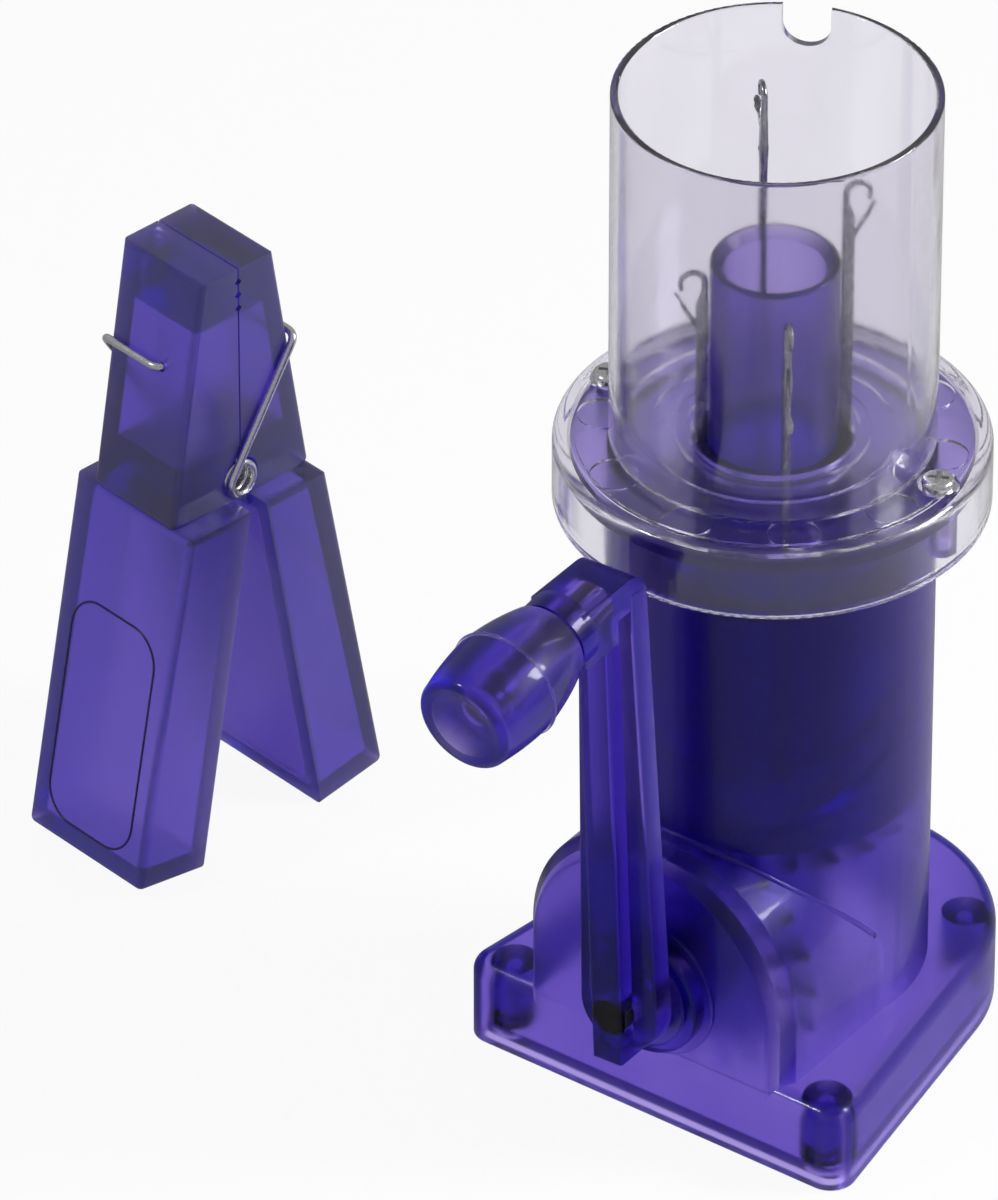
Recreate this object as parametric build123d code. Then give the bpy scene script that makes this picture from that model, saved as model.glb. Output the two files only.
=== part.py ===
"""Hand-cranked cord knitting machine with its weight clip, as separate pieces.

Frame: +Z up, the origin on the table under the axis of the needle cylinder.
The crank is on the -Y side.  All sizes are in millimetres.
"""
import os
from math import acos, atan, atan2, cos, hypot, pi, radians, sin, sqrt, tan

from build123d import *

# ---------------------------------------------------------------- driving dimensions
# base
BASE_HALF_WIDTH = 35.3        # at the front face
BASE_FRONT = 30.5             # cylinder axis to front face
BASE_BACK_R = 28.5            # round back
BASE_BACK_Y = 11.5            # centre of the round back
BASE_HEIGHT = 14.5
BASE_CORNER_R = 4.0
BASE_EDGE_R = 3.0
WALL = 2.0
FRONT_SCREW_INSET = (6.5, 5.5)   # from the base's side and front to its front screws
BACK_SCREW_AT = (19.5, 13.5)     # from the centre of the round back to its back screws
BASE_BOSS_R = 3.6
# column, flange and deck
COLUMN_R = 24.6
COLUMN_TOP = 106.7
DECK = 2.4
DECK_GAP = 0.6                # hole in the deck round the needle bed
FLANGE_R = 30.0
# barrel that holds the crank gear
CRANK_Z = 24.8
BARREL_R = 24.3
BARREL_CHAMFER = 3.8
BARREL_CHAMFER_BACK = 2.85
BARREL_EDGE_R = 0.9
BARREL_WALL = 2.2
# crank bearing
SHAFT_R = 3.0
BUSH_WALL = 2.0
BOSS_R = 10.5
BOSS_OUT = 3.1
PAD_R = 12.0
PAD_OUT = 0.6
BUSH_BACK = 22.2              # rear end of the bush, from the cylinder axis
SLEEVE_WALL = 3.0             # housing round the bush
SHAFT_FRONT = 40.5            # front end of the shaft
THRUST_R = 8.6
THRUST_PLAY = 0.1
# clear cover
TUBE_R = 24.4
TUBE_WALL = 1.2
TUBE_RISE = 61.8              # tube's rim above the column's top
TUBE_RIM_R = 0.4
COVER_GAP = 0.2               # between the column's deck and the cover's floor
COVER_FLOOR = 2.0
COVER_EDGE_R = 1.8
COVER_R = 32.7
SKIRT_WALL = 2.2
SKIRT_DROP = 11.5
SKIRT_EDGE_R = 0.5
LIP_GAP = 0.8                 # low lip on the floor, round the needle bed's hole
LIP_WIDTH = 1.7
LIP_RISE = 0.8
COVER_LINES = ((18.8, 18.2, 0.35), (30.2, 29.5, 0.4))   # shallow rings: outside, inside, depth
RECESSES = 10                 # round recesses under the floor
RECESS_R = 3.9
RECESS_AT = 25.6
RECESS_DEPTH = 0.5
NOTCH_ANGLE = 114.4
NOTCH_WIDTH = 7.4
NOTCH_DEPTH = 6.8
COVER_SCREW_R = 27.8
COVER_SCREW_ANGLE = 6.0
COVER_SINK_R = 3.2
COVER_SINK = 0.8
WASHER_R = 2.95
WASHER_BORE_R = 1.4
WASHER = 0.4
SCREW_PILLAR_R = 1.95         # screw pillar under the flange
SCREW_PILLAR_DROP = 9.5
# screws
SCREW_R = 1.15
SCREW_LENGTH = 8.0
SCREW_HEAD_R = 2.5
BASE_SCREW_HEAD = 1.3
COVER_SCREW_HEAD = 1.5
GEAR_SCREW_HEAD = 1.6
GEAR_SCREW_HEAD_R = 3.0
PILOT_R = 1.2                 # hole that a screw cuts its thread in
SCREW_HOLE_R = 1.5
BASE_SINK_R = 2.9
BASE_SINK = 1.1
# needle cylinder
BED_R = 11.8
BED_RISE = 1.5                # needle bed's top above the column's top
BED_STEP = 2.15               # from the bed's surface in to the guide tube's
GUIDE_RISE = 32.8             # guide tube's top above the column's top
GUIDE_WALL = 2.05
MOUTH_FLARE = 1.3
MOUTH_DEPTH = 1.6
CYLINDER_BOTTOM = 41.2
SPIGOT_STEP = 0.8             # spigot on the post that the cylinder turns on
SPIGOT_REACH = 3.9
SPIGOT_RUN = 0.1
POST_CLEAR = 1.8              # between the post and the root of the cylinder's gear
# needles
NEEDLES = 4
NEEDLE_ANGLES = (-45.0, 45.0, 135.0, 225.0)
NEEDLE_RISES = (29.5, 45.6, 55.9, 32.2)     # hook tops above the column's top
NEEDLE_LENGTH = 80.0
GROOVE_DEPTH = 1.85           # bed's surface in to the needles' stems
GROOVE_GAP = 0.5
GROOVE_FOOT = 7.3             # grooves' lower end above the cylinder's foot
STEM_WIDTH = 1.8
STEM_THICK = 1.1
WIRE_R = 0.5
HOOK_R = 1.8
LATCH_DROP = 11.0             # hook top to latch rivet
LATCH_LENGTH = 8.1
LATCH_ANGLES = (160.0, 29.0, 50.0, 29.0)
LATCH_HALF = 0.18             # half the blade's thickness
SPOON = (0.5, 1.15, 2.4)
RIVET_R = 0.3
BUTT_R = 15.2
BUTT_HEIGHT = 2.0
NECK = 1.6                    # round wire between the flat stem's taper and the hook
NECK_TAPER = 2.4
# cams
CAM_IN_R = 15.6
CAM_BELOW = 8.8               # cams' lower end below the lowest butt
CAM_ABOVE = 7.4               # cams' upper end above the highest butt
CAM_SLOT = 2.6
CAM_UNDER = 1.0               # part of the slot under the butts' feet
# gears: two equal mitre gears
TEETH = 20
GEAR_R = 18.5
GEAR_FACE = 4.6
BACKLASH = 0.16
PRESSURE_ANGLE = radians(20)
DEDENDUM = 1.25               # in modules
HUB_R = 9.0
HUB = 3.0
HEAD_ROOM_R = 3.4             # hollow round the head of the gear's screw
HEAD_ROOM = 2.0
# crank
CRANK_R = 75.0
CRANK_LEAN = 2.3              # degrees
ARM_BACK = 34.7
ARM_PLATE = 3.9
ARM_RIB = 3.2
ARM_HALF_TOP = 4.8
ARM_HALF_END = 7.0
ARM_EDGE_R = 0.5
RIB_HALF = 2.7
RIB_END_R = 1.5
BLOCK_FRONT = 50.3
BLOCK_HEIGHT = 9.4
BLOCK_DROP = 0.3              # block's middle below the spindle
BLOCK_BACK_R = 4.0
# knob
KNOB_CANT = 7.0               # degrees below square
KNOB_LENGTH = 22.3
KNOB_RIDGE_R = 8.9
KNOB_RIDGE_AT = 11.4
KNOB_BELLY = (7.95, 5.6)      # radius and place of a point between the rear and the ridge
KNOB_TAPER = (8.55, 17.0)     # the same between the ridge and the end
KNOB_REAR_R = 6.6
KNOB_END_R = 7.9
KNOB_DISH = 2.0               # depth of the dished end
KNOB_GATE_R = 1.0             # flat spot in the middle of the dish
COLLAR_R = 6.1
COLLAR = 1.7
SPINDLE_R = 2.6
SPINDLE_REACH = 17.0          # spindle beyond the collar
SPINDLE_ROOT = 9.0            # spindle inside the block
SNAP_AT = 13.0                # snap ring on the spindle
SNAP_WIDTH = 2.0
SNAP_RING = 0.35
# weight clip
CLIP_AT = (-102.0, -6.0)      # clear of the sweep of the crank
CLIP_YAW = -11.0
CLIP_HEIGHT = 104.5
CLIP_PIVOT_Z = 66.0
CLIP_SHOULDER_Z = 62.5
JAW_WIDTH = 18.0
JAW_HALF = 7.3
HANDLE_WIDTH = 26.0
SHOULDER_OUT = 14.2
FOOT_OUT = 25.6
FOOT_IN = 12.4
CLIP_WALL = 2.6
CLIP_PLATE = 1.6              # plate that closes the hollow handle
CLIP_INNER = 1.6              # parting plane to the handle's inner face, at the shoulder
JAW_TEETH = 3
JAW_TOOTH_PITCH = 2.4
SPRING_WIRE_R = 0.65
SPRING_COIL_R = 2.6
SPRING_LEG_Z = 88.0
SPRING_TIP_X = 2.5            # where the leg's tip enters the jaw
SPRING_TIP = 3.2
SPRING_BEND_R = 1.4
JAW_EDGE_R = 1.0
HANDLE_EDGE_R = 1.2
# fits
SLIP = 0.02                   # pressed or bonded pieces of one body
RUN = 0.06                    # turning journals
AIR = 0.3                     # pieces that must not touch

# ---------------------------------------------------------------- sizes worked out from them
COVER_UNDER = COLUMN_TOP + COVER_GAP
COVER_TOP = COVER_UNDER + COVER_FLOOR
TUBE_TOP = COLUMN_TOP + TUBE_RISE
BED_TOP = COLUMN_TOP + BED_RISE
GUIDE_TOP = COLUMN_TOP + GUIDE_RISE
NEEDLE_TOPS = [COLUMN_TOP + rise for rise in NEEDLE_RISES]
CAM_BOTTOM = min(NEEDLE_TOPS) - NEEDLE_LENGTH - CAM_BELOW
CAM_TOP = max(NEEDLE_TOPS) - NEEDLE_LENGTH + CAM_ABOVE
COLUMN_BORE = COLUMN_R - WALL
BARREL_BORE = BARREL_R - WALL
GUIDE_R = BED_R - BED_STEP
CORD_BORE_R = GUIDE_R - GUIDE_WALL
POST_BORE_R = CORD_BORE_R + 0.2
DECK_HOLE_R = BED_R + DECK_GAP
STEM_IN_R = BED_R - GROOVE_DEPTH
HOOK_CENTRE_R = STEM_IN_R + WIRE_R + HOOK_R
LATCH_PIVOT_R = STEM_IN_R + 0.58 * STEM_WIDTH
GEAR_SMALL = GEAR_R - GEAR_FACE
GEAR_MODULE = 2 * GEAR_R / TEETH
CONE = GEAR_R * sqrt(2)
ROOT_SLOPE = tan(radians(45) - atan(DEDENDUM * GEAR_MODULE / CONE))
POST_R = GEAR_SMALL * ROOT_SLOPE - POST_CLEAR
POST_TOP = CYLINDER_BOTTOM - AIR
BUSH_R = SHAFT_R + BUSH_WALL
COVER_PLATE_BOTTOM = 0.9
COVER_PLATE = 2.0
FRONT_SCREW_X = BASE_HALF_WIDTH - FRONT_SCREW_INSET[0]
FRONT_SCREW_Y = FRONT_SCREW_INSET[1] - BASE_FRONT
BACK_SCREW_Y = BASE_BACK_Y + BACK_SCREW_AT[1]
BOTTOM_SCREW_AT = ((-FRONT_SCREW_X, FRONT_SCREW_Y), (FRONT_SCREW_X, FRONT_SCREW_Y),
                   (-BACK_SCREW_AT[0], BACK_SCREW_Y), (BACK_SCREW_AT[0], BACK_SCREW_Y))


def ring(r_out, r_in, z0, z1):
    """An upright tube between two heights."""
    outer = Pos(0, 0, z0) * Cylinder(r_out, z1 - z0, align=(Align.CENTER, Align.CENTER, Align.MIN))
    inner = Pos(0, 0, z0 - 1) * Cylinder(r_in, z1 - z0 + 2, align=(Align.CENTER, Align.CENTER, Align.MIN))
    return outer - inner


def rod(r, z0, z1):
    """An upright round bar between two heights."""
    return Pos(0, 0, z0) * Cylinder(r, z1 - z0, align=(Align.CENTER, Align.CENTER, Align.MIN))


def forward(shape):
    """Lay a shape that stands on +Z along -Y, with z = 0 on the crank axis."""
    return Pos(0, 0, CRANK_Z) * Rot(90, 0, 0) * shape


def turned(angle, shape):
    """Turn a shape about the cylinder axis."""
    return Rot(0, 0, angle) * shape


def base_outline():
    """Shield outline of the base: a straight front, sides that close in, a round back."""
    reach = hypot(BASE_HALF_WIDTH, BASE_FRONT + BASE_BACK_Y)
    bearing = atan2(-BASE_FRONT - BASE_BACK_Y, BASE_HALF_WIDTH)
    touch = bearing + acos(BASE_BACK_R / reach)
    tx, ty = BASE_BACK_R * cos(touch), BASE_BACK_Y + BASE_BACK_R * sin(touch)
    sides = Polyline((-tx, ty), (-BASE_HALF_WIDTH, -BASE_FRONT), (BASE_HALF_WIDTH, -BASE_FRONT), (tx, ty))
    back = ThreePointArc((tx, ty), (0, BASE_BACK_Y + BASE_BACK_R), (-tx, ty))
    outline = make_face(sides + back)
    corners = outline.vertices().sort_by(Axis.Y)[:2]
    return fillet(corners, BASE_CORNER_R)


def barrel(radius, front, back):
    """Tombstone block along Y: round over the crank axis, straight sides down to the table."""
    arch = Circle(radius) + Pos(0, -CRANK_Z / 2) * Rectangle(2 * radius, CRANK_Z)
    return Pos(0, front, CRANK_Z) * Rot(90, 0, 0) * extrude(arch, front - back)


# ---------------------------------------------------------------- housing
def housing():
    """One moulding: hollow base, barrel, column, top flange and bosses."""
    base = extrude(base_outline(), BASE_HEIGHT)
    base = fillet(base.faces().sort_by(Axis.Z)[-1].edges(), BASE_EDGE_R)
    hump = barrel(BARREL_R, -BASE_FRONT, 0)
    front_rim = hump.faces().sort_by(Axis.Y)[0].edges().filter_by(lambda e: e.center().Z > 1)
    hump = chamfer(front_rim, BARREL_CHAMFER, BARREL_CHAMFER_BACK)
    slope_edges = hump.edges().filter_by(lambda e: e.center().Y < BARREL_CHAMFER - BASE_FRONT + 0.1)
    hump = fillet(slope_edges.filter_by(lambda e: e.center().Z > 1), BARREL_EDGE_R)
    inside_below = extrude(offset(base_outline(), -WALL), BASE_HEIGHT - WALL)
    shell = base + hump + rod(COLUMN_R, 1, COLUMN_TOP) + rod(FLANGE_R, COLUMN_TOP - DECK, COLUMN_TOP)
    shell -= inside_below
    shell -= barrel(BARREL_BORE, -BASE_FRONT + BARREL_WALL, 0)
    shell -= rod(COLUMN_BORE, 0, COLUMN_TOP - DECK)
    shell -= rod(DECK_HOLE_R, 0, COLUMN_TOP + 1)
    for angle in (COVER_SCREW_ANGLE, COVER_SCREW_ANGLE + 180):
        pillar = rod(SCREW_PILLAR_R, COLUMN_TOP - SCREW_PILLAR_DROP, COLUMN_TOP - DECK / 2)
        shell += turned(angle, Pos(COVER_SCREW_R, 0, 0) * pillar)
        pilot = rod(PILOT_R, COLUMN_TOP - SCREW_PILLAR_DROP + 1, COLUMN_TOP + 1)
        shell -= turned(angle, Pos(COVER_SCREW_R, 0, 0) * pilot)
    for x, y in BOTTOM_SCREW_AT:
        top = BASE_HEIGHT - WALL
        foot = COVER_PLATE_BOTTOM + COVER_PLATE
        shell += Pos(x, y, 0) * (rod(BASE_BOSS_R, foot, top + 0.1) - rod(PILOT_R, foot - 1, top - 1.5))
    pad = rod(PAD_R, BASE_FRONT - 1, BASE_FRONT + PAD_OUT)
    boss = rod(BOSS_R, BASE_FRONT - 1, BASE_FRONT + BOSS_OUT)
    shell += forward(fillet(pad.edges().sort_by(Axis.Z)[-1], PAD_OUT / 2))
    shell += forward(fillet(boss.edges().sort_by(Axis.Z)[-1], PAD_OUT))
    shell += forward(rod(BUSH_R + SLEEVE_WALL, BUSH_BACK, BASE_FRONT))
    shell -= forward(rod(BUSH_R + SLIP, BUSH_BACK - 2, BASE_FRONT + BOSS_OUT + 1))
    return shell


def screw(shank_r, shank, head_r, head):
    """Cross-head pan screw: the head stands on z = 0, the shank hangs below it."""
    dome = fillet(rod(head_r, 0, head).edges().sort_by(Axis.Z)[-1], 0.55 * head)
    slot = Box(1.3 * head_r, 0.28 * head_r, head, align=(Align.CENTER, Align.CENTER, Align.MIN))
    cross = Pos(0, 0, 0.45 * head) * (slot + Rot(0, 0, 90) * slot)
    return dome + rod(shank_r, -shank, 0.1) - cross


def bottom_cover():
    """Plate that closes the base from below, with the hollow post that carries the cylinder."""
    plate = extrude(offset(base_outline(), -WALL - AIR), COVER_PLATE)
    plate = Pos(0, 0, COVER_PLATE_BOTTOM) * plate
    cover = plate + rod(POST_R, COVER_PLATE_BOTTOM, POST_TOP)
    cover += rod(POST_R - SPIGOT_STEP, POST_TOP - 1, CYLINDER_BOTTOM + SPIGOT_REACH)
    cover -= rod(POST_BORE_R, 0, CYLINDER_BOTTOM + SPIGOT_REACH + 1)
    hole = rod(SCREW_HOLE_R, 0, COVER_PLATE_BOTTOM + COVER_PLATE + 1)
    sink = rod(BASE_SINK_R, 0, COVER_PLATE_BOTTOM + BASE_SINK)
    for x, y in BOTTOM_SCREW_AT:
        cover -= Pos(x, y, 0) * (hole + sink)
    return cover


def bottom_screws():
    """Four screws, heads down, that hold the bottom cover to the bosses."""
    one = Rot(180, 0, 0) * screw(SCREW_R, SCREW_LENGTH, SCREW_HEAD_R, BASE_SCREW_HEAD)
    return [Pos(x, y, COVER_PLATE_BOTTOM + BASE_SINK) * one for x, y in BOTTOM_SCREW_AT]


# ---------------------------------------------------------------- clear cover
def clear_cover():
    """One clear moulding: upright tube, floor ring and skirted flange."""
    tube = ring(TUBE_R, TUBE_R - TUBE_WALL, COVER_UNDER, TUBE_TOP)
    tube = fillet(tube.edges().group_by(Axis.Z)[-1], TUBE_RIM_R)
    plate = rod(COVER_R, COVER_TOP - SKIRT_DROP, COVER_TOP)
    plate = fillet(plate.edges().sort_by(Axis.Z)[-1], COVER_EDGE_R)
    plate -= rod(COVER_R - SKIRT_WALL, 0, COVER_UNDER)
    plate = fillet(plate.edges().group_by(Axis.Z)[0], SKIRT_EDGE_R)
    lip_r = BED_R + AIR + LIP_GAP
    cover = plate + tube + ring(lip_r + LIP_WIDTH, lip_r, COVER_TOP - 0.5, COVER_TOP + LIP_RISE)
    cover -= rod(BED_R + AIR, 0, TUBE_TOP)
    for r_out, r_in, depth in COVER_LINES:
        cover -= ring(r_out, r_in, COVER_TOP - depth, COVER_TOP + 0.01)
    recess = Pos(RECESS_AT, 0, 0) * rod(RECESS_R, COVER_UNDER - 1, COVER_UNDER + RECESS_DEPTH)
    for k in range(RECESSES):
        cover -= turned(COVER_SCREW_ANGLE + (k + 0.5) * 360 / RECESSES, recess)
    hole = rod(SCREW_HOLE_R, COVER_UNDER - 1, COVER_TOP)
    hole += rod(COVER_SINK_R, COVER_TOP - COVER_SINK, COVER_TOP + 5)
    for angle in (COVER_SCREW_ANGLE, COVER_SCREW_ANGLE + 180):
        cover -= turned(angle, Pos(COVER_SCREW_R, 0, 0) * hole)
    slot = SlotOverall(2 * NOTCH_DEPTH, NOTCH_WIDTH)
    notch = Pos(0, 0, TUBE_TOP) * Rot(0, 90, 0) * extrude(slot, 2 * TUBE_R)
    return cover - turned(NOTCH_ANGLE, notch)


def at_cover_screws(shape, z):
    """The same small piece at both cover screws."""
    spots = (COVER_SCREW_ANGLE, COVER_SCREW_ANGLE + 180)
    return [turned(a, Pos(COVER_SCREW_R, 0, z) * shape) for a in spots]


def cover_screws():
    """Two cross-head screws that hold the clear cover to the flange."""
    one = Rot(0, 0, 20) * screw(SCREW_R, SCREW_LENGTH, SCREW_HEAD_R, COVER_SCREW_HEAD)
    return at_cover_screws(one, COVER_TOP - COVER_SINK + WASHER)


def cover_washers():
    """Two plain washers in the counterbores of the clear cover."""
    return at_cover_screws(ring(WASHER_R, WASHER_BORE_R, 0, WASHER), COVER_TOP - COVER_SINK)


# ---------------------------------------------------------------- needle cylinder and cams
def needle_cylinder():
    """Hollow cylinder: grooved needle bed below, plain guide tube above, cord bore through both."""
    bed = rod(BED_R, CYLINDER_BOTTOM, BED_TOP)
    guide = rod(GUIDE_R, BED_TOP - 1, GUIDE_TOP)
    guide = fillet(guide.edges().sort_by(Axis.Z)[-1], 0.5)
    body = chamfer(bed.edges().sort_by(Axis.Z)[-1], 0.4) + guide
    body -= rod(CORD_BORE_R, 0, GUIDE_TOP + 1)
    standing = (Align.CENTER, Align.CENTER, Align.MIN)
    body -= Pos(0, 0, GUIDE_TOP - MOUTH_DEPTH) * Cone(CORD_BORE_R, CORD_BORE_R + MOUTH_FLARE, MOUTH_DEPTH,
                                                      align=standing)
    body -= rod(POST_R - SPIGOT_STEP + SPIGOT_RUN, 0, CYLINDER_BOTTOM + SPIGOT_REACH + 2 * SPIGOT_RUN)
    groove_foot = CYLINDER_BOTTOM + GROOVE_FOOT
    groove_size = (2 * GROOVE_DEPTH, STEM_THICK + GROOVE_GAP, BED_TOP - groove_foot + 1)
    groove = Box(*groove_size, align=(Align.MIN, Align.CENTER, Align.MIN))
    for angle in NEEDLE_ANGLES:
        body -= turned(angle, Pos(STEM_IN_R - 0.2, 0, groove_foot) * groove)
    return body


def cam_ring(shift, top):
    """Ring cut off along the sloping path of the needle butts; top says which part is kept."""
    block = ring(COLUMN_BORE - AIR, CAM_IN_R, CAM_BOTTOM, CAM_TOP)
    angles = [radians(angle) for angle in NEEDLE_ANGLES]
    swing_x = 2 / NEEDLES * sum(h * cos(a) for h, a in zip(NEEDLE_TOPS, angles))
    swing_y = 2 / NEEDLES * sum(h * sin(a) for h, a in zip(NEEDLE_TOPS, angles))
    middle = sum(NEEDLE_TOPS) / NEEDLES - NEEDLE_LENGTH + shift
    track_r = 0.5 * (CAM_IN_R + COLUMN_BORE)
    path = Plane(origin=(0, 0, middle), z_dir=(-swing_x / track_r, -swing_y / track_r, 1))
    keep = path * Box(200, 200, 200, align=(Align.CENTER, Align.CENTER, Align.MIN if top else Align.MAX))
    return block & keep


def cam_lower():
    """Lower cam: its sloped top lifts the needle butts."""
    return cam_ring(-CAM_UNDER, False)


def cam_upper():
    """Upper cam: its sloped underside draws the needles down again."""
    return cam_ring(CAM_SLOT - CAM_UNDER, True)


# ---------------------------------------------------------------- needles
def at_needle(k, shape):
    """Place a piece drawn in needle k's own frame: x is the radius, z = 0 is the hook's top."""
    return turned(NEEDLE_ANGLES[k], Pos(0, 0, NEEDLE_TOPS[k]) * shape)


def needle(k):
    """Latch needle: flat stem with a butt at its foot, a slot for the latch, a round hook."""
    width = (Align.MIN, Align.CENTER, Align.MIN)
    hook_z = -HOOK_R - WIRE_R
    stem_top = hook_z - NECK
    stem_length = NEEDLE_LENGTH + stem_top - NECK_TAPER
    stem = Pos(STEM_IN_R, 0, -NEEDLE_LENGTH) * Box(STEM_WIDTH, STEM_THICK, stem_length, align=width)
    butt = Pos(STEM_IN_R, 0, -NEEDLE_LENGTH) * Box(BUTT_R - STEM_IN_R, STEM_THICK, BUTT_HEIGHT, align=width)
    wide = Pos(STEM_IN_R + STEM_WIDTH / 2, 0, stem_top - NECK_TAPER) * Rectangle(STEM_WIDTH, STEM_THICK)
    slim = Pos(STEM_IN_R + WIRE_R, 0, stem_top) * Rectangle(1.7 * WIRE_R, 1.7 * WIRE_R)
    neck = loft([wide, slim])
    line = Polyline((STEM_IN_R + WIRE_R, 0, stem_top - 0.3), (STEM_IN_R + WIRE_R, 0, hook_z))
    arc = ThreePointArc(line @ 1, (HOOK_CENTRE_R, 0, hook_z + HOOK_R), (HOOK_CENTRE_R + HOOK_R, 0, hook_z))
    tip = Polyline(arc @ 1, (HOOK_CENTRE_R + HOOK_R - 0.1, 0, hook_z - 1.2))
    path = line + arc + tip
    hook = sweep(Plane(origin=line @ 0, z_dir=(0, 0, 1)) * Circle(WIRE_R), path)
    slot = Pos(LATCH_PIVOT_R - 0.75, 0, -LATCH_DROP - 3.8) * Box(4, 0.5, 6.4, align=width)
    hole = Pos(LATCH_PIVOT_R, 0, -LATCH_DROP) * Rot(90, 0, 0) * Cylinder(RIVET_R + SLIP / 2, 4)
    return at_needle(k, stem + butt + neck + hook - slot - hole)


def latch(k):
    """Latch: thin blade on the rivet, with a spoon at its end that closes the hook."""
    end = LATCH_LENGTH - SPOON[2] + 0.2
    blade = Polyline((-0.45, 0), (-0.3, end), (0.3, end), (0.45, 0), (-0.45, 0))
    flat = make_face(blade) + Circle(0.55)
    piece = extrude(Plane.XZ * flat, LATCH_HALF, both=True)
    spoon = Box(*SPOON, align=(Align.CENTER, Align.CENTER, Align.MIN))
    spoon = fillet(spoon.edges().filter_by(Axis.X), 0.5)
    piece += Pos(0, 0, LATCH_LENGTH - SPOON[2]) * spoon
    piece -= Rot(90, 0, 0) * Cylinder(RIVET_R + RUN, 4)
    return at_needle(k, Pos(LATCH_PIVOT_R, 0, -LATCH_DROP) * Rot(0, LATCH_ANGLES[k], 0) * piece)


def rivet(k):
    """Rivet that the latch swings on."""
    pin = Rot(90, 0, 0) * Cylinder(RIVET_R, STEM_THICK)
    return at_needle(k, Pos(LATCH_PIVOT_R, 0, -LATCH_DROP) * pin)


# ---------------------------------------------------------------- mitre gears
def tooth_outline(at):
    """Half a tooth as (radius, half angle) pairs in the plane that far from the cones' apex."""
    base_r = CONE * cos(PRESSURE_ANGLE)
    spread = pi / (2 * TEETH * sqrt(2)) + tan(PRESSURE_ANGLE) - PRESSURE_ANGLE
    points = []
    for step in (-DEDENDUM, -0.8, -0.4, 0.0, 0.5, 1.0):
        rise = step * GEAR_MODULE
        r = CONE + rise
        lean = acos(min(base_r / r, 1.0))
        half = r * (spread - tan(lean) + lean) - BACKLASH
        plane_r = at * tan(radians(45) + atan(rise / CONE))
        points.append((plane_r, half / (GEAR_R + rise / sqrt(2))))
    return points


def mitre_gear(first_tooth):
    """Teeth and root cone of a mitre gear, apex at the origin, opening towards +Z."""
    sections = []
    for at in (GEAR_R, GEAR_SMALL):
        half = tooth_outline(at)
        root_r, root_angle = half[0]
        foot = 0.93 * root_r
        right = [(foot, root_angle)] + half
        polar = right + [(r, -a) for r, a in reversed(right)]
        points = [(r * cos(a), r * sin(a)) for r, a in polar]
        sections.append(Pos(0, 0, at) * make_face(Polyline(*points, close=True)))
    tooth = loft(sections, ruled=True)
    root_big, root_small = (tooth_outline(at)[0][0] for at in (GEAR_R, GEAR_SMALL))
    upright = (Align.CENTER, Align.CENTER, Align.MIN)
    core = Pos(0, 0, GEAR_SMALL) * Cone(root_small, root_big, GEAR_FACE, align=upright)
    teeth = [Rot(0, 0, first_tooth + 360 / TEETH * k) * tooth for k in range(TEETH)]
    return core + teeth


def cylinder_gear():
    """Mitre gear under the needle cylinder, which stands in its counterbore."""
    gear = Pos(0, 0, CRANK_Z) * mitre_gear(-90 + 180 / TEETH)
    gear += rod(GEAR_R * ROOT_SLOPE - 0.7, CRANK_Z + GEAR_R - 1, CRANK_Z + GEAR_R + 4)
    gear -= rod(POST_R + 4 * SPIGOT_RUN, 0, CYLINDER_BOTTOM + 1)
    return gear - rod(BED_R + SLIP, CYLINDER_BOTTOM, COLUMN_TOP)


def drive_gear():
    """Mitre gear on the crank shaft."""
    gear = mitre_gear(90) + rod(HUB_R, GEAR_R - 1, GEAR_R + HUB)
    gear -= rod(SHAFT_R + SLIP, 0, GEAR_R + HUB + 1)
    gear -= rod(HEAD_ROOM_R, 0, GEAR_SMALL + HEAD_ROOM)
    return forward(gear)


def crank_shaft():
    """Steel shaft from the drive gear through the bush into the crank arm."""
    pilot = rod(PILOT_R, 0, GEAR_SMALL + HEAD_ROOM + SCREW_LENGTH + 1)
    return forward(rod(SHAFT_R, GEAR_SMALL + HEAD_ROOM, SHAFT_FRONT) - pilot)


def gear_screw():
    """Screw in the end of the shaft that holds the drive gear on."""
    piece = Rot(180, 0, 0) * screw(SCREW_R, SCREW_LENGTH, GEAR_SCREW_HEAD_R, GEAR_SCREW_HEAD)
    return forward(Pos(0, 0, GEAR_SMALL + HEAD_ROOM) * piece)


def shaft_bush():
    """Bearing bush pressed into the housing's front boss."""
    return forward(ring(BUSH_R, SHAFT_R + RUN, BUSH_BACK, BASE_FRONT + BOSS_OUT))


def crank_washer():
    """Thrust washer between the boss and the crank arm."""
    front = ARM_BACK - 2 * THRUST_PLAY
    return forward(ring(THRUST_R, SHAFT_R + THRUST_PLAY, BASE_FRONT + BOSS_OUT + THRUST_PLAY, front))


# ---------------------------------------------------------------- crank
def knob_place(shape):
    """Put a shape drawn on +Z on the canted spindle axis, z = 0 on the block's front face."""
    return Pos(0, -BLOCK_FRONT, CRANK_R) * Rot(90 + KNOB_CANT, 0, 0) * shape


def on_crank(shape):
    """Place a shape drawn round the crank axis, with the arm straight up, where the crank stands."""
    return Pos(0, 0, CRANK_Z) * Rot(0, -CRANK_LEAN, 0) * shape


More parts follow.
